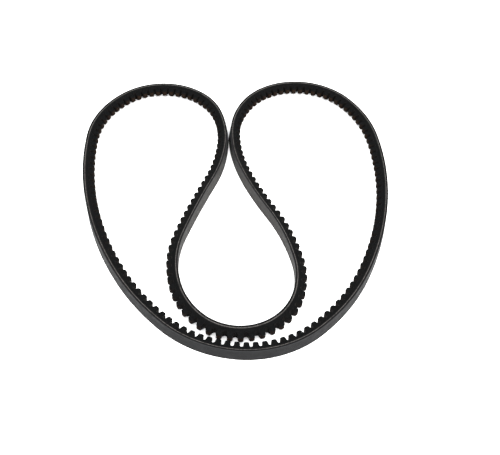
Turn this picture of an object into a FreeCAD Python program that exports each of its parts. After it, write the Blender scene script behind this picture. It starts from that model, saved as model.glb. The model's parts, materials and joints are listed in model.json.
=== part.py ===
import FreeCAD, Part
import math
import os

# A raw-edge cogged V belt: one endless narrow-section belt that stands on its side edge, folded
# into a heart.  The path runs along the tensile cord, counterclockwise seen from above, with the
# cogs on its left.  The frame's origin is the middle of the loop's outline, on the plane the belt
# stands on, +Z up.  Lengths are millimetres and angles are degrees.

# ---- the belt's section -------------------------------------------------------------------------
CORD_LENGTH = 1287.0       # once round the loop, along the tensile cord
COG_COUNT = 204
TOP_WIDTH = 9.7            # across the back
BELT_HEIGHT = 8.4          # from the back to the cog tips
FLANK_ANGLE = 19.0         # from each flank to the belt's middle plane

# ---- the layers, counted down from the back -----------------------------------------------------
BACK_FABRIC = 0.6          # the only layer with square edges: the flanks start beneath it
OVERCORD = 0.45
CUSHION = 1.1
CORD_DIAMETER = 0.8
CORD_SIDES = 12            # of the polygon that stands for the cord's round section
CORD_TURNS = 7             # parallel turns of one wound cord, seen across the section
CORD_SPACING = 1.45        # so wide that the flanks cut the outermost two turns
CORD_CLEARANCE = 0.02      # bonding film between a turn and its channel, each side

# ---- the cogs -----------------------------------------------------------------------------------
NOTCH_DEPTH = 3.2
COG_WIDTH = 3.8            # along the belt, at the cog's root
COG_CORNER = 1.6           # radius of the cog's rounded corners
CORNER_DROP = 1.4          # from the cog's tip down to the middle of that radius
NOTCH_ROOT = 1.1           # height of the notch's rounded floor
COG_PHASE = 0.125          # the first cog sits this part of a pitch past the start of the path

# ---- the fold: tangent arcs as (radius, turn), from the middle of the bottom run ----------------
# A positive turn bends the belt round its cogs, a negative one bends it back round its cover.
# The list gives the fold's proportions: its size comes from CORD_LENGTH.  The two arcs with no
# radius take the radii that close the loop.
FOLD = [
    (78.0, 44.0), (142.0, 24.0), (None, 35.0), (91.5, 31.0),          # right side
    (55.0, 107.0), (72.0, 34.0), (107.0, 22.0), (296.5, 9.0),         # right lobe, down to the neck
    (-144.0, -20.0), (-57.5, -30.0), (-39.5, -111.0),                 # inner fold, right and bottom
    (-52.0, -32.0), (-74.0, -35.0), (-546.5, -6.0),                   # inner fold, left
    (134.5, 16.0), (86.0, 28.0), (51.5, 112.0), (72.0, 46.0),         # neck and left lobe
    (236.5, 34.0), (175.0, 17.0), (None, 35.0),                       # left side
]

# ---- where the belt flexes ----------------------------------------------------------------------
# Each flex line lies in a notch, numbered along the path from its start.  The seam is the notch
# where the loop of bodies is opened.
SEAM = 104
FLEX_NOTCH = {
    "base_right": 4, "waist_right": 27, "shoulder_right": 62,
    "shoulder_left": 145, "waist_left": 175, "base_left": 201,
}
# Largest turn at each flex line: positive closes the notch, negative closes the back.
FLEX_TURN = {
    "base_right": 10.0, "waist_right": -20.0, "shoulder_right": 10.0, "seam": 0.0,
    "shoulder_left": 10.0, "waist_left": -20.0, "base_left": 10.0,
}
FLEX_GAP = 0.1             # between the two ends that meet at a flex line
FLEX_MARGIN = 0.4          # extra relief angle on each end
# Each body of belt runs along the path from one flex line to the next.
BODIES = {
    "base": ("base_left", "base_right"),
    "side_right": ("base_right", "waist_right"),
    "lobe_right": ("waist_right", "shoulder_right"),
    "fold_right": ("shoulder_right", "seam"),
    "fold_left": ("seam", "shoulder_left"),
    "lobe_left": ("shoulder_left", "waist_left"),
    "side_left": ("waist_left", "base_left"),
}

# ---- worked out from the above ------------------------------------------------------------------
PITCH = CORD_LENGTH / COG_COUNT
CORD_DEPTH = BACK_FABRIC + OVERCORD + CUSHION / 2
TIP = BELT_HEIGHT - CORD_DEPTH                 # from the cord to the cog tips
ROOT = TIP - NOTCH_DEPTH                       # from the cord to the floor of a notch
MID_HEIGHT = TOP_WIDTH / 2
OVERSHOOT = 1.0                                # how far a cutter runs past what it cuts
UP = FreeCAD.Vector(0, 0, 1)


def sin(angle):
    return math.sin(math.radians(angle))


def cos(angle):
    return math.cos(math.radians(angle))


def tan(angle):
    return math.tan(math.radians(angle))


# ---- the path -----------------------------------------------------------------------------------
def close_loop(fold):
    """Give the two arcs with no radius the radii that bring the path back to its start."""
    heading = 0.0
    chords = []
    for radius, turn in fold:
        chords.append((sin(heading + turn) - sin(heading), cos(heading) - cos(heading + turn)))
        heading += turn
    first, second = [i for i, (radius, turn) in enumerate(fold) if radius is None]
    miss_x = -sum(fold[i][0] * chords[i][0] for i in range(len(fold)) if fold[i][0])
    miss_y = -sum(fold[i][0] * chords[i][1] for i in range(len(fold)) if fold[i][0])
    (ax, ay), (bx, by) = chords[first], chords[second]
    det = ax * by - bx * ay
    closed = list(fold)
    closed[first] = ((miss_x * by - bx * miss_y) / det, fold[first][1])
    closed[second] = ((ax * miss_y - miss_x * ay) / det, fold[second][1])
    return closed


def lay_arcs(fold):
    """Lay the arcs end to end at full size: (station, length, radius, centre, heading)."""
    scale = CORD_LENGTH / sum(radius * math.radians(turn) for radius, turn in fold)
    point = FreeCAD.Vector(0, 0, 0)
    station = heading = 0.0
    arcs = []
    for radius, turn in fold:
        radius *= scale
        length = radius * math.radians(turn)
        centre = point + FreeCAD.Vector(-sin(heading), cos(heading), 0) * radius
        arcs.append((station, length, radius, centre, heading))
        heading += turn
        point = centre + FreeCAD.Vector(sin(heading), -cos(heading), 0) * radius
        station += length
    return arcs


def outline_middle(arcs):
    """The middle of the box round the belt's back, from where it faces along X or Y."""
    xs, ys = [], []
    for station, length, radius, centre, heading in arcs:
        turn = math.degrees(length / radius)
        for quarter in range(-4, 9):
            facing = quarter * 90.0
            if min(heading, heading + turn) <= facing <= max(heading, heading + turn):
                xs.append(centre.x + sin(facing) * (radius + CORD_DEPTH))
                ys.append(centre.y - cos(facing) * (radius + CORD_DEPTH))
    return FreeCAD.Vector((min(xs) + max(xs)) / 2, (min(ys) + max(ys)) / 2, 0)


ARCS = lay_arcs(close_loop(FOLD))
MIDDLE = outline_middle(ARCS)


def frame_at(station):
    """The cord's point, its direction and the direction towards the cogs, at a station."""
    station %= CORD_LENGTH
    start, length, radius, centre, heading = [arc for arc in ARCS if arc[0] <= station + 1e-9][-1]
    heading += math.degrees((station - start) / radius)
    along = FreeCAD.Vector(cos(heading), sin(heading), 0)
    inward = FreeCAD.Vector(-sin(heading), cos(heading), 0)
    return centre - inward * radius - MIDDLE, along, inward


def offset_point(station, along_by, inward_by, height=0.0):
    point, along, inward = frame_at(station)
    return point + along * along_by + inward * inward_by + UP * height


def notch_station(number):
    return (number + 0.5 + COG_PHASE) * PITCH


# ---- the flex lines -----------------------------------------------------------------------------
def flex_pivots():
    """The six pivots, moved by the least amount that lets the two halves of the loop agree.

    The right and left chains carry the inner fold alike when shoulder_right - shoulder_left equals
    base_right - base_left, and waist_right + waist_left equals shoulder_left + base_right.
    """
    on_cord = {name: frame_at(notch_station(number))[0] for name, number in FLEX_NOTCH.items()}
    span_error = (on_cord["shoulder_right"] - on_cord["shoulder_left"]
                  - on_cord["base_right"] + on_cord["base_left"])
    height_error = (on_cord["waist_right"] + on_cord["waist_left"]
                    - on_cord["shoulder_left"] - on_cord["base_right"])
    span_share = (height_error - span_error * 2) / 6
    height_share = (span_error - height_error * 2) / 6
    shift = {
        "shoulder_right": span_share, "base_left": span_share,
        "shoulder_left": (span_share + height_share) * -1, "base_right": (span_share + height_share) * -1,
        "waist_right": height_share, "waist_left": height_share,
    }
    return {name: on_cord[name] + shift[name] for name in on_cord}


def flex_lines():
    """For each flex line: its pivot, its station, and its directions along and inward."""
    lines = {}
    for name, pivot in flex_pivots().items():
        station = notch_station(FLEX_NOTCH[name])
        point, along, inward = frame_at(station)
        lines[name] = (pivot, station + (pivot - point).dot(along), along, inward)
    station = notch_station(SEAM)
    lines["seam"] = (frame_at(station)[0], station) + frame_at(station)[1:]
    return lines


FLEX_LINES = flex_lines()


def prism(edges):
    """A cutter: a closed outline in the plane, raised right through the belt."""
    face = Part.Face(Part.Wire(edges))
    face.translate(UP * -OVERSHOOT)
    return face.extrude(UP * (TOP_WIDTH + 2 * OVERSHOOT))


def flex_cutter(name):
    """The gap at a flex line, with relief on the side that closes as the belt flexes."""
    pivot, station, along, inward = FLEX_LINES[name]
    turn = FLEX_TURN[name]
    reach = {1: TIP + OVERSHOOT, -1: CORD_DEPTH + OVERSHOOT}
    closing = 1 if turn >= 0 else -1
    half_gap = FLEX_GAP / 2
    opened = half_gap
    if turn:
        opened += reach[closing] * tan(abs(turn) / 2 + FLEX_MARGIN)
    outline = [(-half_gap, -closing * reach[-closing]), (half_gap, -closing * reach[-closing]),
               (half_gap, 0), (opened, closing * reach[closing]),
               (-opened, closing * reach[closing]), (-half_gap, 0)]
    corners = [pivot + along * a + inward * b for a, b in outline]
    return prism(Part.makePolygon(corners + corners[:1]).Edges)


# ---- the cogs -----------------------------------------------------------------------------------
def cog_flank(cog_station, side):
    """Points down one side of a cog, from above its tip to the edge of the notch's floor."""
    middle = COG_WIDTH / 2 - COG_CORNER

    def corner(angle):
        return offset_point(cog_station, side * (middle + COG_CORNER * cos(angle)),
                            TIP - CORNER_DROP + COG_CORNER * sin(angle))

    above = offset_point(cog_station, side * middle, TIP + OVERSHOOT)
    floor_edge = offset_point(cog_station, side * COG_WIDTH / 2, ROOT + NOTCH_ROOT)
    return above, corner(83.0), corner(42.0), corner(0.0), floor_edge


def notch_cutter(number):
    """The space between two cogs.  Each side follows its own cog, which keeps its shape."""
    station = notch_station(number)
    above_a, mouth_a, bend_a, side_a, floor_a = cog_flank(station - PITCH / 2, 1)
    above_b, mouth_b, bend_b, side_b, floor_b = cog_flank(station + PITCH / 2, -1)
    floor = offset_point(station, 0, ROOT)
    return prism([
        Part.makeLine(above_a, mouth_a),
        Part.Arc(mouth_a, bend_a, side_a).toShape(),
        Part.makeLine(side_a, floor_a),
        Part.Arc(floor_a, floor, floor_b).toShape(),
        Part.makeLine(floor_b, side_b),
        Part.Arc(side_b, bend_b, mouth_b).toShape(),
        Part.makeLine(mouth_b, above_b),
        Part.makeLine(above_b, above_a),
    ])


# ---- sections across the belt -------------------------------------------------------------------
def band_section(station, top, bottom):
    """The part of the section between two depths under the back."""
    def edge_point(depth, side):
        half_width = TOP_WIDTH / 2 - max(0.0, depth - BACK_FABRIC) * tan(FLANK_ANGLE)
        return offset_point(station, 0, depth - CORD_DEPTH, MID_HEIGHT + side * half_width)

    corners = [edge_point(top, -1), edge_point(bottom, -1), edge_point(bottom, 1), edge_point(top, 1)]
    return Part.Face(Part.makePolygon(corners + corners[:1]))


def turn_section(station, turn, radius):
    """One turn of the cord, as a polygon whose corners lie at the given radius."""
    height = MID_HEIGHT + (turn - (CORD_TURNS - 1) / 2) * CORD_SPACING
    corners = [offset_point(station, 0, radius * cos(angle), height + radius * sin(angle))
               for angle in range(0, 360, 360 // CORD_SIDES)]
    return Part.Face(Part.makePolygon(corners + corners[:1]))


def cushion_band(station):
    top = BACK_FABRIC + OVERCORD
    return band_section(station, top, top + CUSHION)


def back_fabric_section(station):
    return [band_section(station, 0.0, BACK_FABRIC)]


def overcord_section(station):
    return [band_section(station, BACK_FABRIC, BACK_FABRIC + OVERCORD)]


def cord_section(station):
    """The cord's turns.  The flanks cut the outermost two, so the cord shows on the raw edge."""
    band = cushion_band(station)
    turns = [turn_section(station, turn, CORD_DIAMETER / 2) for turn in range(CORD_TURNS)]
    return [section.common(band).Faces[0] for section in turns]


def cushion_section(station):
    """The bonding rubber round the cord, with a channel for each turn."""
    channels = [turn_section(station, turn, CORD_DIAMETER / 2 + CORD_CLEARANCE)
                for turn in range(CORD_TURNS)]
    return [cushion_band(station).cut(channels).Faces[0]]


def cog_rubber_section(station):
    return [band_section(station, CORD_DEPTH + CUSHION / 2, BELT_HEIGHT)]


LAYERS = {
    "back_fabric": back_fabric_section,
    "overcord_rubber": overcord_section,
    "tensile_cord": cord_section,
    "cushion_rubber": cushion_section,
    "cog_rubber": cog_rubber_section,
}


# ---- layers along a body ------------------------------------------------------------------------
def stretches(start, end):
    """The pieces of single arcs between two stations: (station, length, radius, centre)."""
    pieces = []
    for lap in (0.0, CORD_LENGTH):
        for arc_start, length, radius, centre, heading in ARCS:
            low = max(start, arc_start + lap)
            high = min(end, arc_start + lap + length)
            if high - low > 1e-6:
                pieces.append((low, high - low, radius, centre - MIDDLE))
    return pieces


def sweep(section, start, end):
    """Turn a section round each arc between two stations, and join what each face sweeps."""
    swept = {}
    for station, length, radius, centre in stretches(start, end):
        axis = UP if radius > 0 else UP * -1
        for index, face in enumerate(section(station)):
            solid = face.revolve(centre, axis, abs(math.degrees(length / radius)))
            swept.setdefault(index, []).append(solid)
    joined = []
    for solids in swept.values():
        whole = solids[0].multiFuse(solids[1:]) if len(solids) > 1 else solids[0]
        joined.append(whole)
    return joined


def build_layer(body, layer):
    """One layer of one body, ended at its two flex lines, with notches if it carries cogs."""
    first, last = BODIES[body]
    start, end = FLEX_LINES[first][1], FLEX_LINES[last][1]
    if end < start:
        end += CORD_LENGTH
    cutters = [flex_cutter(first), flex_cutter(last)]
    if layer == "cog_rubber":
        lowest = round(start / PITCH - 0.5 - COG_PHASE)
        highest = round(end / PITCH - 0.5 - COG_PHASE)
        cutters += [notch_cutter(number) for number in range(lowest, highest + 1)]
    solids = []
    for whole in sweep(LAYERS[layer], start, end):
        solids += whole.cut(cutters).Solids
    return Part.makeCompound(solids)


def main():
    os.makedirs("parts", exist_ok=True)
    for body in BODIES:
        for layer in LAYERS:
            shape = build_layer(body, layer)
            shape.exportStep(os.path.join("parts", body + "_" + layer + ".step"))
            print(body, layer, len(shape.Solids), "solids", round(shape.Volume, 1), "mm3",
                  "" if shape.isValid() else "NOT VALID")
    for name, (pivot, station, along, inward) in FLEX_LINES.items():
        print("pivot", name, round(pivot.x, 4), round(pivot.y, 4), "station", round(station, 3))
    print("middle", MIDDLE)


main()
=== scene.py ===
import json
import math

import bmesh
import bpy
import numpy as np
from mathutils import Euler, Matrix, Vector
from mathutils.kdtree import KDTree

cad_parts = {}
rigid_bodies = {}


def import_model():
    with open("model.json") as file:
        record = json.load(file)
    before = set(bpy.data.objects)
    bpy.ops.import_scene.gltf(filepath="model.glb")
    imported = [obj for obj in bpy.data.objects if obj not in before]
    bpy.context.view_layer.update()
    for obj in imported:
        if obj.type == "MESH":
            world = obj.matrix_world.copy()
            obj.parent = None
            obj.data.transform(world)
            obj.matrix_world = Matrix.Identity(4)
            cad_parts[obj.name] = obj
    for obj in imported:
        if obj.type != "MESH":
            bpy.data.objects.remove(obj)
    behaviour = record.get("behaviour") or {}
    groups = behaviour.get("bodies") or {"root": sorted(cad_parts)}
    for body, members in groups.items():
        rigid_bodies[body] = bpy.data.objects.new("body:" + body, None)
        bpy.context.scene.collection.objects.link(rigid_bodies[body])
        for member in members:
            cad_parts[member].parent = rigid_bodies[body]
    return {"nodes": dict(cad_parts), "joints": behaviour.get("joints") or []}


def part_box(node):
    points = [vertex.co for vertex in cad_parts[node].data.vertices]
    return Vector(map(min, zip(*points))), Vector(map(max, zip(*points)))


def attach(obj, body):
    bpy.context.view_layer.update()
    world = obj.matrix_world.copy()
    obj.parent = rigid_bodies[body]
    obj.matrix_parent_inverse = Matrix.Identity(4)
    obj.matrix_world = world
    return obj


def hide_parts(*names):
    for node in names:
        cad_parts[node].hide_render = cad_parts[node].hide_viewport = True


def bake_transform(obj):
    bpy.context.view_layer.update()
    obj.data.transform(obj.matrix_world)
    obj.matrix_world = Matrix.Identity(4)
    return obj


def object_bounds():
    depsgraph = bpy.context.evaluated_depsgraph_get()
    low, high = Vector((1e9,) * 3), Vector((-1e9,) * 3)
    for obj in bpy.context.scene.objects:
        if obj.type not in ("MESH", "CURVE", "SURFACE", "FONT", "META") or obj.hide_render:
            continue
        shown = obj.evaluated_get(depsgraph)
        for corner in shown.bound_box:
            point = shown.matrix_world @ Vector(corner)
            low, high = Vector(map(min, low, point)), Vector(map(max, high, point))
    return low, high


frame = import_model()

# The looks of a raw-edge cogged V belt that stands on its side edge, folded into a heart.
# The belt's path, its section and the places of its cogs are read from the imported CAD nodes.  So
# each layer of skin lies where its CAD layer lies, but for the slight lean that LEAN adds, and but
# for the notches, which are too deep (see place_cogs).
# Lengths are metres.  "Station" is the distance along the tensile cord, counterclockwise from where
# the CAD back of fold_left begins, close to the seam.  "Depth" is the distance from the back
# towards the cogs, and "height" is the distance from the floor.

MM = 0.001
CAD_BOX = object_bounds()

# ---- the belt as the frame gives it --------------------------------------------------------------
LAYERS = ["back_fabric", "overcord_rubber", "tensile_cord", "cushion_rubber", "cog_rubber"]
# The bodies in order along the belt, counterclockwise, starting at the seam.
RUN = ["fold_left", "lobe_left", "side_left", "base", "side_right", "lobe_right", "fold_right"]
HINGES = {frozenset((joint["parent"], joint["child"])): joint for joint in frame["joints"]}
LEAST_STEP = 0.5 * MM      # back points closer than this count as one, and lower ones as on the floor
DENSE_STEP = 0.15 * MM     # spacing of the points that hold the traced path
TIP_MARGIN = 0.02 * MM     # points this near the greatest depth are on a cog's tip
COG_COUNTS = range(100, 400)

# ---- looks that the frame doesn't give -----------------------------------------------------------
CORD_TURNS = 7
CUT_SHARE = 0.39           # how far inside the flank the outer turn's middle lies, over its radius
CHANNEL_CLEARANCE = 0.02 * MM
OVERCORD_RECESS = 0.03 * MM
COG_CORNER = 1.3 * MM      # radius of the cog's rounded corners
NOTCH_FLOOR = 1.15 * MM    # radius of the notch's round floor
COG_DRAFT = math.radians(6.0)
EDGE_WEAR = 0.2 * MM       # rounding where a flank meets a cog's face
COVER_WEAR = 0.22 * MM     # rounding of the cover's outer corners
SHARP_ANGLE = math.radians(38.0)      # edges that turn by more than this are shaded sharp
RINGS_PER_PITCH = 6
END_RING = 0.02 * MM       # from a piece's end to its next ring
SEAM_GAP = 0.02 * MM       # between the belt's two ends, where the loop of bodies is open
# How the belt leans, by distance along it from the seam, in millimetres: how far its top edge and
# its foot lie out from the upright CAD belt, towards its back.
LEAN = [
    # from seam, top, foot
    (80.0, 0.0, 0.0),
    (130.0, 0.0, 1.1),
    (165.0, 0.0, 1.3),
    (190.0, -0.4, 0.6),
    (207.0, -0.6, 0.74),      # the neck, where the feet of the two sides all but touch
    (218.0, -0.6, 1.1),
    (250.0, 0.0, 0.0),
    (430.0, 0.0, 0.0),
    (500.0, 0.0, 1.0),
    (640.0, 0.0, 1.2),        # the front run
]
WEAVE_WAVE = 11.0          # radians of the cover's weave in each millimetre
# Painted sheen: the inner fold's cover is painted paler, for the light it reflects from the floor.
# How much so, in full within one distance of the seam and not at all beyond the other, in
# millimetres.
PAINTED_SHEEN_SHARE = 0.45
PAINTED_SHEEN_WITHIN = 150.0
PAINTED_SHEEN_UP_TO = 230.0
# Colours, in linear light.
COVER_DARK = (0.0042, 0.0044, 0.0048)
COVER_LIGHT = (0.0084, 0.0088, 0.0095)
COVER_DUSTY = (0.0133, 0.0129, 0.0125)
COVER_WORN = (0.0245, 0.0256, 0.0265)
COVER_CUT = (0.0045, 0.0046, 0.0048)           # on the raw edge
COVER_PAINTED_SHEEN = (0.0437, 0.0413, 0.0389)      # painted sheen on the inner fold's cover
CORD_PALE = (0.0869, 0.0812, 0.0770)
CORD_DARK = (0.0060, 0.0056, 0.0053)
OVERCORD_BLACK = (0.0016, 0.0016, 0.0018)
CUSHION_BLACK = (0.0018, 0.0018, 0.0020)
MARKS_PALER = 2.4          # how much paler the grinding marks are than the rubber round the cord
FLANK_BLACK = (0.0013, 0.0014, 0.0015)
FLANK_GREY = (0.0051, 0.0054, 0.0057)
FLECK = (0.0229, 0.0208, 0.0187)
FACE_DARK = (0.0049, 0.0046, 0.0043)
FACE_BROWN = (0.0084, 0.0039, 0.0018)

# ---- the studio ----------------------------------------------------------------------------------
FLOOR_WHITE = (0.92, 0.92, 0.92)
FLOOR_REACH = 20.0
WORLD_STRENGTH = 2.3
# The soft boxes: name, place, side of the square, watts, colour.
LIGHTS = [
    ("overhead", (0.0, -0.45, 1.2), 1.4, 26.0, (1.0, 1.0, 1.0)),
    ("right", (1.1, -0.3, 0.7), 0.8, 16.0, (1.0, 0.96, 0.92)),
    ("left", (-1.1, -0.4, 0.7), 0.8, 6.0, (0.94, 0.97, 1.0)),
]
# The camera aims at a point of the floor.  From the CAD box's middle, that is this far to the right
# and towards the camera, in shares of the box's size.  Its distance is in lengths of the box.
AIM_RIGHT, AIM_FORWARD = 0.0781, 0.0906
CAMERA_DISTANCE = 1.763
CAMERA_TURN, CAMERA_ELEVATION, CAMERA_ROLL = 1.63, 51.58, 3.689      # degrees
SENSOR_WIDTH, FOCAL_LENGTH = 36.0, 45.66      # millimetres
SHIFT_ACROSS, SHIFT_UP = -0.0038, -0.0064     # of the picture, over its width


def flat(point):
    return Vector((point[0], point[1], 0.0))


def tree_of(points):
    tree = KDTree(len(points))
    for index, point in enumerate(points):
        tree.insert(flat(point), index)
    tree.balance()
    return tree


COG_POINTS = [vertex.co for body in RUN
              for vertex in frame["nodes"][body + "_cog_rubber"].data.vertices]


# ---- tracing the path ----------------------------------------------------------------------------
def floor_edge_of_back(body, cog_tree):
    """The points where one body's back meets the floor, in no order."""
    mesh = frame["nodes"][body + "_back_fabric"].data
    found = {}
    for polygon in mesh.polygons:
        to_cogs = cog_tree.find(flat(polygon.center))[0] - flat(polygon.center)
        faces_cogs = polygon.normal.dot(to_cogs.normalized())
        if faces_cogs < -0.5:
            for index in polygon.vertices:
                point = mesh.vertices[index].co
                if point.z < LEAST_STEP:
                    found[(round(point.x, 6), round(point.y, 6))] = flat(point)
    return list(found.values())


def trace_back():
    """Points round the belt's back, in order from the seam."""
    cog_tree = tree_of(COG_POINTS)
    here = Vector(HINGES[frozenset(("side_left", "base"))]["pos_m"])
    path, seam = [], 0
    for body in RUN[3:] + RUN[:3]:
        if body == RUN[0]:
            seam = len(path)
        loose = floor_edge_of_back(body, cog_tree)
        while loose:
            nearest = min(loose, key=lambda point: (point - flat(here)).length)
            loose.remove(nearest)
            here = nearest
            if not path or min((here - path[-1]).length, (here - path[0]).length) > LEAST_STEP:
                path.append(here)
    return np.roll(np.array([point[:2] for point in path]), -seam, axis=0)


def smooth_loop(points):
    """Close points and unit directions on a smooth closed curve through the given points."""
    chord = np.roll(points, -1, axis=0) - points
    gap = np.linalg.norm(chord, axis=1, keepdims=True)
    chord = chord / gap
    before = np.roll(gap, 1, axis=0)
    tangent = chord * before + np.roll(chord, 1, axis=0) * gap
    tangent /= np.linalg.norm(tangent, axis=1, keepdims=True)
    places, directions = [], []
    for index, start in enumerate(points):
        end = points[(index + 1) % len(points)]
        leave, arrive = tangent[index] * gap[index], tangent[(index + 1) % len(points)] * gap[index]
        count = math.ceil(gap[index, 0] / DENSE_STEP)
        t = (np.arange(count) / count)[:, None]
        places.append(start * (2 * t**3 - 3 * t**2 + 1) + leave * (t**3 - 2 * t**2 + t)
                      + end * (3 * t**2 - 2 * t**3) + arrive * (t**3 - t**2))
        directions.append(start * (6 * t**2 - 6 * t) + leave * (3 * t**2 - 4 * t + 1)
                          + end * (6 * t - 6 * t**2) + arrive * (3 * t**2 - 2 * t))
    directions = np.vstack(directions)
    return np.vstack(places), directions / np.linalg.norm(directions, axis=1, keepdims=True)


class Belt:
    """The traced path and the section, with places on the belt by station, depth and height."""

    def __init__(self):
        back, along = smooth_loop(trace_back())
        top = {layer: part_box("base_" + layer)[0].y for layer in LAYERS}
        outside = top["back_fabric"]
        self.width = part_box("base_back_fabric")[1].z
        self.cover = top["overcord_rubber"] - outside
        self.cushion_top = top["cushion_rubber"] - outside
        self.cog_top = top["cog_rubber"] - outside
        self.cord_depth = (self.cushion_top + self.cog_top) / 2
        self.cord_radius = self.cord_depth - (top["tensile_cord"] - outside)
        self.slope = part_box("base_cog_rubber")[0].z / (self.cog_top - self.cover)
        inward = np.column_stack((-along[:, 1], along[:, 0]))
        cord = back + inward * self.cord_depth
        step = np.linalg.norm(np.roll(cord, -1, axis=0) - cord, axis=1)
        self.length = step.sum()
        self.stations = np.concatenate(([0.0], np.cumsum(step)))
        self.cord = np.vstack((cord, cord[:1]))
        heading = np.unwrap(np.arctan2(along[:, 1], along[:, 0]))
        self.headings = np.append(heading, heading[0] + math.tau)
        self.place_cogs(back)

    def place_cogs(self, back):
        """Find the belt's height, the notches' floors and the cogs' number and places."""
        tree = tree_of(back)
        found = [tree.find(flat(point))[1:] for point in COG_POINTS]
        depth = np.array([distance for index, distance in found])
        station = self.stations[[index for index, distance in found]]
        self.height = depth.max()
        # A known fault: the least depth past this one is that of mesh points inside the base's
        # flanks, not of a notch's floor, so every notch is drawn 1 mm deeper than it is in the CAD.
        past = 0.4 * (self.cog_top + self.height)
        self.floor = depth[depth > past].min()
        tips = station[depth > self.height - TIP_MARGIN]
        agreement = {count: abs(np.exp(math.tau * 1j * tips * count / self.length).mean())
                     for count in COG_COUNTS}
        self.cogs = max(agreement, key=agreement.get)
        self.pitch = self.length / self.cogs
        phase = np.angle(np.exp(math.tau * 1j * tips / self.pitch).mean()) / math.tau
        self.first_cog = (phase % 1.0) * self.pitch

    def frame_at(self, station):
        """The cord's places, and the directions along the belt and towards the cogs."""
        station = np.asarray(station) % self.length
        place = np.column_stack([np.interp(station, self.stations, self.cord[:, k]) for k in (0, 1)])
        heading = np.interp(station, self.stations, self.headings)
        along = np.column_stack((np.cos(heading), np.sin(heading)))
        inward = np.column_stack((-along[:, 1], along[:, 0]))
        return place, along, inward

    def half_width(self, depth):
        return self.width / 2 - np.maximum(0.0, depth - self.cover) * self.slope

    def station_of(self, point):
        """The station of the path's nearest place to a point."""
        nearest = np.linalg.norm(self.cord[:-1] - np.array(point[:2]), axis=1).argmin()
        return self.stations[nearest]

    def notch_near(self, station):
        """The middle of the notch nearest to a station."""
        number = round((station - self.first_cog) / self.pitch - 0.5)
        return self.first_cog + (number + 0.5) * self.pitch


belt = Belt()


# ---- meshes --------------------------------------------------------------------------------------
def lean_over(rings):
    """Move the points of upright rings to where the belt leans."""
    station = rings[:, :, 3].ravel()
    share = rings[:, :, 2].ravel() / belt.width
    from_seam = belt.length / 2 - np.abs(station - belt.length / 2)
    place, tops, feet = np.array(LEAN).T * MM
    top, foot = np.interp(from_seam, place, tops), np.interp(from_seam, place, feet)
    inward = belt.frame_at(station)[2]
    outward_by = top * share + foot * (1 - share)
    leaned = rings.copy()
    leaned[:, :, :2] -= (inward * outward_by[:, None]).reshape(*rings.shape[:2], 2)
    return leaned


def mesh_of_tubes(name, tubes):
    """One mesh from tubes, each an array of rings of (x, y, z, station, depth), closed at both ends."""
    mesh = bmesh.new()
    first_ends, last_ends = set(), set()
    for rings in tubes:
        rows = [[mesh.verts.new(point[:3]) for point in ring] for ring in lean_over(rings)]
        first_ends.update(rows[0])
        last_ends.update(rows[-1])
        size = len(rows[0])
        for low, high in zip(rows, rows[1:]):
            for k in range(size):
                mesh.faces.new((low[k], low[(k + 1) % size], high[(k + 1) % size], high[k]))
    for ends in (first_ends, last_ends):
        edges = [edge for edge in mesh.edges if edge.is_boundary and edge.verts[0] in ends]
        bmesh.ops.triangle_fill(mesh, use_beauty=True, use_dissolve=False, edges=edges)
    bmesh.ops.recalc_face_normals(mesh, faces=mesh.faces)
    data = bpy.data.meshes.new(name)
    mesh.to_mesh(data)
    mesh.free()
    for polygon in data.polygons:
        polygon.use_smooth = True
    data.set_sharp_from_angle(angle=SHARP_ANGLE)
    # the materials read each point's place on the belt, in millimetres: station, depth and height
    places = np.vstack([rings.reshape(-1, 5)[:, [3, 4, 2]] for rings in tubes]) / MM
    data.attributes.new("belt", "FLOAT_VECTOR", "POINT").data.foreach_set("vector", places.ravel())
    piece = bpy.data.objects.new(name, data)
    bpy.context.scene.collection.objects.link(piece)
    return piece


def swept_rings(contour, start, end):
    """Rings of one (depth, height) contour, at even steps from one station to another."""
    contour = np.array(contour)
    count = RINGS_PER_PITCH * round((end - start) / belt.pitch)
    stations = np.concatenate(([start, start + END_RING], np.linspace(start, end, count + 1)[1:-1],
                               [end - END_RING, end]))
    place, along, inward = belt.frame_at(stations)
    offset = (contour[:, 0] - belt.cord_depth)[None, :, None]
    rings = np.zeros((len(stations), len(contour), 5))
    rings[:, :, :2] = place[:, None, :] + inward[:, None, :] * offset
    rings[:, :, 2] = contour[None, :, 1]
    rings[:, :, 3] = stations[:, None]
    rings[:, :, 4] = contour[None, :, 0]
    return rings


def arc(centre, radius, first, last, count):
    """Points on an arc in the section, by angles in degrees from +depth towards +height."""
    angles = np.radians(np.linspace(first, last, count))
    return [(centre[0] + radius * math.cos(a), centre[1] + radius * math.sin(a)) for a in angles]


def mirrored(upper):
    """A closed contour from its upper half, which runs from the middle of one side to the other."""
    return upper + [(depth, belt.width - height) for depth, height in reversed(upper)]


def flank_height(depth):
    """The height of the upper flank at a depth."""
    return belt.width / 2 + float(belt.half_width(depth))


def level_rows(depth, low, high, count):
    """Points across the belt's width at one depth."""
    return [(depth, height) for height in np.linspace(low, high, count)]


def cover_contour():
    """The cover, square but for its worn outer corners."""
    top = belt.width
    corner = arc((COVER_WEAR, top - COVER_WEAR), COVER_WEAR, 180, 90, 4)
    upper = level_rows(0.0, top * 0.55, top * 0.93, 4) + corner + [(belt.cover, top)]
    upper += level_rows(belt.cover, top * 0.9, top * 0.55, 3)
    return [mirrored(upper)]


def overcord_contour():
    """The dark rubber over the cord, set a little in from the flanks."""
    return [mirrored([(depth, flank_height(depth) - OVERCORD_RECESS)
                      for depth in (belt.cover, belt.cushion_top)])]


def turn_height(turn):
    """The middle height of a turn of the cord, counted from the middle turn."""
    outer = flank_height(belt.cord_depth) - CUT_SHARE * belt.cord_radius
    return belt.width / 2 + (outer - belt.width / 2) * turn / (CORD_TURNS // 2)


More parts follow.
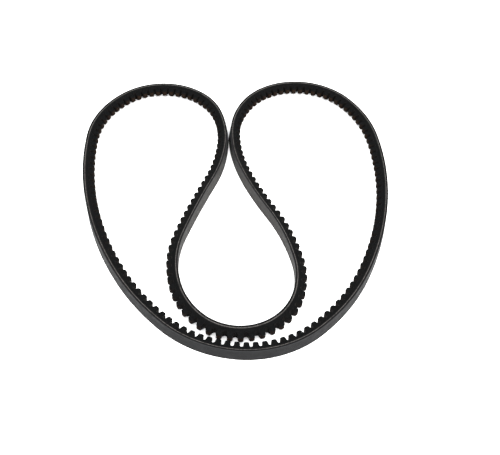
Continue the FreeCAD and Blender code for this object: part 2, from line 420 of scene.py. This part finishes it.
def cord_contours():
    """One contour per turn.  The flanks cut the outer two."""
    def within_flanks(depth, height):
        return depth, min(max(height, belt.width - flank_height(depth)), flank_height(depth))

    contours = []
    for turn in range(-(CORD_TURNS // 2), CORD_TURNS // 2 + 1):
        ring = arc((belt.cord_depth, turn_height(turn)), belt.cord_radius, 0, 345, 24)
        contours.append([within_flanks(*point) for point in ring])
    return contours


def cushion_contours():
    """The bonding rubber, open to each flank where it shows the cord, with a channel for each turn."""
    radius = belt.cord_radius + CHANNEL_CLEARANCE
    outer = turn_height(CORD_TURNS // 2)
    lean = math.atan(belt.slope)
    reach = (flank_height(belt.cord_depth) - outer) * math.cos(lean) / radius
    mouth = math.degrees(math.asin(reach))
    near, far = 180 - mouth - math.degrees(lean), 360 + mouth - math.degrees(lean)
    channel = arc((belt.cord_depth, outer), radius, near, far, 15)
    upper = [(belt.cushion_top, flank_height(belt.cushion_top))] + channel
    upper += [(belt.cog_top, flank_height(belt.cog_top))]
    inner = range(1 - CORD_TURNS // 2, CORD_TURNS // 2)
    return [mirrored(upper)] + [arc((belt.cord_depth, turn_height(turn)), radius, 345, 0, 24)
                                for turn in inner]


# ---- cogs ----------------------------------------------------------------------------------------
def cog_outline():
    """Half a cog: points (along, depth) from the middle of its tip to the middle of a notch."""
    notch = belt.height - belt.floor
    rounds = COG_CORNER + NOTCH_FLOOR
    tip = belt.pitch / 2 - (rounds + (notch - rounds) * math.sin(COG_DRAFT)) / math.cos(COG_DRAFT)
    draft = math.degrees(COG_DRAFT)
    corner_depth = belt.height - COG_CORNER
    corner = [(tip + COG_CORNER * math.cos(a), corner_depth + COG_CORNER * math.sin(a))
              for a in np.radians(np.linspace(90, draft, 8))]
    floor_depth = belt.floor + NOTCH_FLOOR
    floor = [(belt.pitch / 2 - NOTCH_FLOOR * math.cos(a), floor_depth - NOTCH_FLOOR * math.sin(a))
             for a in np.radians(np.linspace(draft, 90, 7))]
    return [(0.0, belt.height)] + corner + floor


def cog_line(start, end):
    """The cogs' outline between two notches, as (x, y, depth, station), and its directions outward.

    A cog keeps its shape wherever it is, and the floors of the notches bend with the belt.
    """
    half = np.array(cog_outline())
    whole = np.vstack((half[::-1] * (-1, 1), half[1:]))
    grip = belt.pitch / 2 - NOTCH_FLOOR
    loosen = np.clip((np.abs(whole[:, 0]) - grip) / NOTCH_FLOOR, 0, 1)[:, None]
    pieces = []
    count = round((end - start) / belt.pitch)
    for number in range(count):
        middle = start + (number + 0.5) * belt.pitch
        depth = whole[:, 1:] - belt.cord_depth
        place, along, inward = belt.frame_at([middle])
        stiff = place + along * whole[:, :1] + inward * depth
        place, along, inward = belt.frame_at(middle + whole[:, 0])
        supple = place + inward * depth
        line = np.zeros((len(whole), 4))
        line[:, :2] = stiff * (1 - loosen) + supple * loosen
        line[:, 2] = whole[:, 1]
        line[:, 3] = middle + whole[:, 0]
        pieces.append(line if number == 0 else line[1:])
    line = np.vstack(pieces)
    step = np.gradient(line[:, :2], axis=0)
    out = np.column_stack((-step[:, 1], step[:, 0]))
    return line, out / np.linalg.norm(out, axis=1, keepdims=True)


def cog_rings(start, end):
    """Rings of the cogged rubber, one for each point of the cogs' outline."""
    line, out = cog_line(start, end)
    edge, depth, station = line[:, :2], line[:, 2], line[:, 3]
    even = np.linspace(start, end, len(line))
    place, along, inward = belt.frame_at(even)
    root = place + inward * (belt.cog_top - belt.cord_depth)
    half_root = float(belt.half_width(belt.cog_top))
    half_edge = belt.half_width(depth)

    def flank_point(share):
        """On the flank, from the root line (share 0) to the worn edge of the cogs' face (share 1)."""
        half = half_root + (belt.half_width(depth - EDGE_WEAR) - half_root) * share
        where = root + (edge - out * EDGE_WEAR - root) * share
        at = even + (station - even) * share
        return where, half, at, belt.cog_top + (depth - belt.cog_top) * share

    def worn_point(angle):
        """Round the edge between a flank (0) and the cogs' face (90)."""
        turn = math.radians(angle)
        half = half_edge - EDGE_WEAR * (1 - math.cos(turn))
        return edge - out * EDGE_WEAR * (1 - math.sin(turn)), half, station, depth

    half_ring = [flank_point(share) for share in (0.0, 0.3, 0.6, 0.85)]
    half_ring += [worn_point(angle) for angle in (15, 45, 90)]
    half_ring += [(edge, half_edge * share, station, depth) for share in (0.6, 0.2)]
    columns = [(where, -half, at, deep) for where, half, at, deep in half_ring] + half_ring[::-1]
    rings = np.zeros((len(line), len(columns), 5))
    for index, (where, half, at, deep) in enumerate(columns):
        rings[:, index, :2] = where
        rings[:, index, 2] = belt.width / 2 + half
        rings[:, index, 3] = at
        rings[:, index, 4] = deep
    return rings


# ---- pieces --------------------------------------------------------------------------------------
def stretches():
    """Lengths of belt: (name, bodies, start, end), split in notches halfway along each body."""
    hinge_stations = [belt.station_of(HINGES[frozenset(pair)]["pos_m"]) for pair in zip(RUN, RUN[1:])]
    seam = belt.notch_near(0.0)
    ends = [seam] + hinge_stations + [seam + belt.length]
    halfway = [belt.notch_near((low + high) / 2) for low, high in zip(ends, ends[1:])]
    found = [(RUN[0], RUN[:1], seam, halfway[0])]
    for index, pair in enumerate(zip(RUN, RUN[1:])):
        name = HINGES[frozenset(pair)]["name"]
        found.append((name, list(pair), halfway[index], halfway[index + 1]))
    found.append((RUN[-1], RUN[-1:], halfway[-1], seam + belt.length))
    return found


RINGS = {
    "back_fabric": lambda start, end: [swept_rings(c, start, end) for c in cover_contour()],
    "overcord_rubber": lambda start, end: [swept_rings(c, start, end) for c in overcord_contour()],
    "tensile_cord": lambda start, end: [swept_rings(c, start, end) for c in cord_contours()],
    "cushion_rubber": lambda start, end: [swept_rings(c, start, end) for c in cushion_contours()],
    "cog_rubber": lambda start, end: [cog_rings(start, end)],
}


def part_at_seam(tubes, bodies):
    """Draw the belt's two ends a hair apart at the seam, so that they don't touch as it flexes."""
    for rings in tubes:
        for body, ring, way in ((RUN[0], rings[0], 1), (RUN[-1], rings[-1], -1)):
            if bodies == [body]:
                ring[:, :2] += belt.frame_at(ring[:1, 3])[1] * way * SEAM_GAP / 2


def join_to_bodies(piece, bodies, layer):
    """Make a piece ride on its one body; a piece over two bodies is left where it is, on neither."""
    if len(bodies) == 1:
        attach(piece, bodies[0])
    else:
        hinge = belt.station_of(HINGES[frozenset(bodies)]["pos_m"])
        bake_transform(piece)
    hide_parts(*[body + "_" + layer for body in bodies])


# ---- materials -----------------------------------------------------------------------------------
class Finish:
    """A material, with short calls that add shader nodes in front of its Principled shader."""

    def __init__(self, name):
        self.material = bpy.data.materials.new(name)
        self.material.use_nodes = True
        self.tree = self.material.node_tree
        self.shader = self.tree.nodes["Principled BSDF"]

    def put(self, value, socket):
        if isinstance(value, bpy.types.NodeSocket):
            self.tree.links.new(value, socket)
        elif socket.type == "RGBA":
            socket.default_value = (*value, 1.0)
        else:
            socket.default_value = value

    def set(self, **inputs):
        for name, value in inputs.items():
            self.put(value, self.shader.inputs[name.replace("_", " ")])

    def calculate(self, operation, *values):
        made = self.tree.nodes.new("ShaderNodeMath")
        made.operation = operation
        for value, socket in zip(values, made.inputs):
            self.put(value, socket)
        return made.outputs[0]

    def place(self, station, depth, height):
        """The place on the belt in millimetres, with each direction stretched by its own factor."""
        source = self.tree.nodes.new("ShaderNodeAttribute")
        source.attribute_name = "belt"
        made = self.tree.nodes.new("ShaderNodeVectorMath")
        made.operation = "MULTIPLY"
        self.put(source.outputs["Vector"], made.inputs[0])
        made.inputs[1].default_value = (station, depth, height)
        return made.outputs[0]

    def coordinate(self, axis):
        """The station, depth or height alone, in millimetres."""
        made = self.tree.nodes.new("ShaderNodeSeparateXYZ")
        self.put(self.place(1.0, 1.0, 1.0), made.inputs[0])
        return made.outputs[("station", "depth", "height").index(axis)]

    def noise(self, vector, detail=3.0, roughness=0.6):
        made = self.tree.nodes.new("ShaderNodeTexNoise")
        self.put(vector, made.inputs["Vector"])
        made.inputs["Scale"].default_value = 1.0
        made.inputs["Detail"].default_value = detail
        made.inputs["Roughness"].default_value = roughness
        return made.outputs[0]

    def between(self, value, low, high, to_low=0.0, to_high=1.0):
        """Rise smoothly from to_low to to_high while the value goes from low to high."""
        made = self.tree.nodes.new("ShaderNodeMapRange")
        made.interpolation_type = "SMOOTHSTEP"
        for item, socket in zip((value, low, high, to_low, to_high), made.inputs):
            self.put(item, socket)
        return made.outputs[0]

    def mix(self, share, first, second):
        """Go from the first colour to the second as the share goes from 0 to 1."""
        made = self.tree.nodes.new("ShaderNodeMix")
        made.data_type = "RGBA"
        factor, colour_a, colour_b, colour_out = 0, 6, 7, 2      # the node's sockets for colours
        self.put(share, made.inputs[factor])
        self.put(first, made.inputs[colour_a])
        self.put(second, made.inputs[colour_b])
        return made.outputs[colour_out]

    def bump(self, height, distance, under=None):
        """Raise the surface by height times distance, on top of another bump if one is given."""
        made = self.tree.nodes.new("ShaderNodeBump")
        made.inputs["Distance"].default_value = distance
        self.put(height, made.inputs["Height"])
        if under is not None:
            self.put(under, made.inputs["Normal"])
        return made.outputs[0]

    def upward(self):
        """How much the surface faces up or down, from 0 to 1."""
        geometry = self.tree.nodes.new("ShaderNodeNewGeometry")
        made = self.tree.nodes.new("ShaderNodeSeparateXYZ")
        self.put(geometry.outputs["True Normal"], made.inputs[0])
        return self.calculate("ABSOLUTE", made.outputs[2])


def cover_finish():
    """Rubberised cover fabric: a fine bias weave, lengthwise streaks, paler worn edges and painted
    sheen on the inner fold.
    """
    finish = Finish("back_fabric")
    streaks = finish.noise(finish.place(0.03, 0.5, 1.9), detail=5.0, roughness=0.65)
    blotches = finish.noise(finish.place(0.16, 0.2, 0.28), detail=4.0)
    grain = finish.noise(finish.place(5.0, 5.0, 5.0), detail=2.0)
    station, height = finish.coordinate("station"), finish.coordinate("height")
    threads = []
    for sign in (1.0, -1.0):
        diagonal = finish.calculate("MULTIPLY_ADD", height, sign, station)
        threads.append(finish.calculate("SINE", finish.calculate("MULTIPLY", diagonal, WEAVE_WAVE)))
    weave = finish.calculate("MULTIPLY", *threads)
    half = belt.width / MM / 2
    off_middle = finish.calculate("ABSOLUTE", finish.calculate("SUBTRACT", height, half))
    ragged = finish.calculate("MULTIPLY_ADD", grain, 0.5, off_middle)
    wear = finish.between(ragged, half - 0.35, half + 0.35)
    cloth = finish.mix(finish.between(streaks, 0.3, 0.7), COVER_DARK, COVER_LIGHT)
    cloth = finish.mix(finish.between(blotches, 0.45, 0.8, 0.0, 0.5), cloth, COVER_DUSTY)
    cloth = finish.mix(finish.between(weave, -1.0, 1.0, 0.0, 0.25), cloth, COVER_DARK)
    # painted sheen: the inner fold's cover is painted paler than the rest, for the light it reflects
    far_side = belt.length / MM / 2
    off_far_side = finish.calculate("ABSOLUTE", finish.calculate("SUBTRACT", station, far_side))
    painted_sheen = finish.between(off_far_side, far_side - PAINTED_SHEEN_UP_TO, far_side - PAINTED_SHEEN_WITHIN)
    cloth = finish.mix(finish.calculate("MULTIPLY", painted_sheen, PAINTED_SHEEN_SHARE), cloth, COVER_PAINTED_SHEEN)
    cloth = finish.mix(wear, cloth, COVER_WORN)
    cloth = finish.mix(finish.between(finish.upward(), 0.8, 0.98), cloth, COVER_CUT)
    relief = finish.bump(weave, 0.012 * MM, finish.bump(streaks, 0.06 * MM))
    finish.set(Base_Color=cloth, Roughness=finish.between(blotches, 0.3, 0.7, 0.52, 0.68),
               Normal=relief, Specular_IOR_Level=0.06)
    return finish.material


def edge_rubber_finish(name, colour):
    """Rubber cut across at the raw edge: matt, with fine grinding marks along the belt."""
    finish = Finish(name)
    marks = finish.noise(finish.place(0.12, 9.0, 9.0), detail=3.0)
    grain = finish.noise(finish.place(4.0, 7.0, 7.0), detail=2.0)
    pale = tuple(MARKS_PALER * part for part in colour)
    rubber = finish.mix(finish.between(marks, 0.45, 0.75), colour, pale)
    finish.set(Base_Color=rubber, Roughness=0.75, Specular_IOR_Level=0.035,
               Normal=finish.bump(marks, 0.03 * MM, finish.bump(grain, 0.03 * MM)))
    return finish.material


def cord_finish():
    """The cord's cut fibres: pale strands broken by dark gaps where the grinder has torn them."""
    finish = Finish("tensile_cord")
    strands = finish.noise(finish.place(0.9, 6.0, 6.0), detail=3.0, roughness=0.7)
    gaps = finish.noise(finish.place(0.35, 0.4, 0.4), detail=3.0)
    fibre = finish.mix(finish.between(strands, 0.38, 0.62), CORD_DARK, CORD_PALE)
    fibre = finish.mix(finish.between(gaps, 0.5, 0.72, 0.0, 0.8), fibre, CORD_DARK)
    off_middle = finish.calculate("SUBTRACT", finish.coordinate("depth"), belt.cord_depth / MM)
    core = finish.between(finish.calculate("ABSOLUTE", off_middle), 0.12, 0.32)
    fibre = finish.mix(core, fibre, CORD_DARK)
    finish.set(Base_Color=fibre, Roughness=0.7, Specular_IOR_Level=0.1,
               Normal=finish.bump(strands, 0.06 * MM))
    return finish.material


def cog_finish():
    """Fibre-filled rubber: ground black flanks flecked with cut fibres, and brown satin cog faces."""
    finish = Finish("cog_rubber")
    marks = finish.noise(finish.place(0.1, 7.0, 7.0), detail=3.0)
    flecks = finish.noise(finish.place(3.2, 4.0, 4.0), detail=1.0)
    mottle = finish.noise(finish.place(0.5, 0.5, 0.5), detail=4.0)
    ribs = finish.noise(finish.place(2.2, 2.2, 0.25), detail=3.0)
    flank = finish.mix(finish.between(marks, 0.45, 0.8), FLANK_BLACK, FLANK_GREY)
    flank = finish.mix(finish.between(flecks, 0.66, 0.74, 0.0, 0.7), flank, FLECK)
    lowest, tip = belt.floor / MM, belt.height / MM
    outer = finish.between(finish.coordinate("depth"), (lowest + tip) / 2, tip)
    browned = finish.calculate("MULTIPLY", outer, finish.between(mottle, 0.3, 0.7, 0.4, 1.0))
    face = finish.mix(browned, FACE_DARK, FACE_BROWN)
    upward = finish.upward()
    side = finish.between(upward, 0.35, 0.8)
    finish.set(Base_Color=finish.mix(side, face, flank),
               Roughness=finish.between(upward, 0.35, 0.8, 0.60, 0.75),
               Specular_IOR_Level=0.022,
               Normal=finish.bump(ribs, 0.05 * MM, finish.bump(marks, 0.03 * MM)))
    return finish.material


MATERIALS = {
    "back_fabric": cover_finish(),
    "overcord_rubber": edge_rubber_finish("overcord_rubber", OVERCORD_BLACK),
    "tensile_cord": cord_finish(),
    "cushion_rubber": edge_rubber_finish("cushion_rubber", CUSHION_BLACK),
    "cog_rubber": cog_finish(),
}

for name, bodies, start, end in stretches():
    for layer in LAYERS:
        tubes = RINGS[layer](start, end)
        part_at_seam(tubes, bodies)
        piece = mesh_of_tubes(layer + "_" + name, tubes)
        piece.data.materials.append(MATERIALS[layer])
        join_to_bodies(piece, bodies, layer)


# ---- floor, lights and camera --------------------------------------------------------------------
def build_floor():
    data = bpy.data.meshes.new("floor")
    corners = [(x * FLOOR_REACH, y * FLOOR_REACH, 0) for x, y in ((-1, -1), (1, -1), (1, 1), (-1, 1))]
    data.from_pydata(corners, [], [(0, 1, 2, 3)])
    finish = Finish("floor")
    finish.set(Base_Color=FLOOR_WHITE, Roughness=0.9, Specular_IOR_Level=0.1)
    data.materials.append(finish.material)
    floor = bpy.data.objects.new("floor", data)
    bpy.context.scene.collection.objects.link(floor)


def area_light(name, place, size, power, colour):
    """A square soft box that faces the middle of the belt."""
    data = bpy.data.lights.new(name, "AREA")
    data.size = size
    data.energy = power
    data.color = colour
    light = bpy.data.objects.new(name, data)
    light.location = place
    light.rotation_euler = (-Vector(place)).to_track_quat("-Z", "Y").to_euler()
    bpy.context.scene.collection.objects.link(light)


def build_camera():
    """The view: near, high in front, turned a little to the left and rolled a little."""
    low, high = CAD_BOX
    size, middle = high - low, (high + low) / 2
    target = Vector((middle.x + AIM_RIGHT * size.x, middle.y - AIM_FORWARD * size.y, 0.0))
    turn, elevation = math.radians(CAMERA_TURN), math.radians(CAMERA_ELEVATION)
    roll = math.radians(CAMERA_ROLL)
    back = Vector((math.sin(turn) * math.cos(elevation), -math.cos(turn) * math.cos(elevation),
                   math.sin(elevation)))
    data = bpy.data.cameras.new("camera")
    data.sensor_width = SENSOR_WIDTH
    data.lens = FOCAL_LENGTH
    data.shift_x = SHIFT_ACROSS
    data.shift_y = SHIFT_UP
    camera = bpy.data.objects.new("camera", data)
    facing = (-back).to_track_quat("-Z", "Y").to_matrix()
    camera.matrix_world = (facing @ Euler((0, 0, roll)).to_matrix()).to_4x4()
    camera.location = target + back * CAMERA_DISTANCE * size.y
    bpy.context.scene.collection.objects.link(camera)
    bpy.context.scene.camera = camera


def build_world():
    world = bpy.data.worlds.new("studio")
    world.use_nodes = True
    background = world.node_tree.nodes["Background"]
    background.inputs["Color"].default_value = (1, 1, 1, 1)
    background.inputs["Strength"].default_value = WORLD_STRENGTH
    bpy.context.scene.world = world
    bpy.context.scene.view_settings.view_transform = "Standard"


build_floor()
for light in LIGHTS:
    area_light(*light)
build_world()
build_camera()
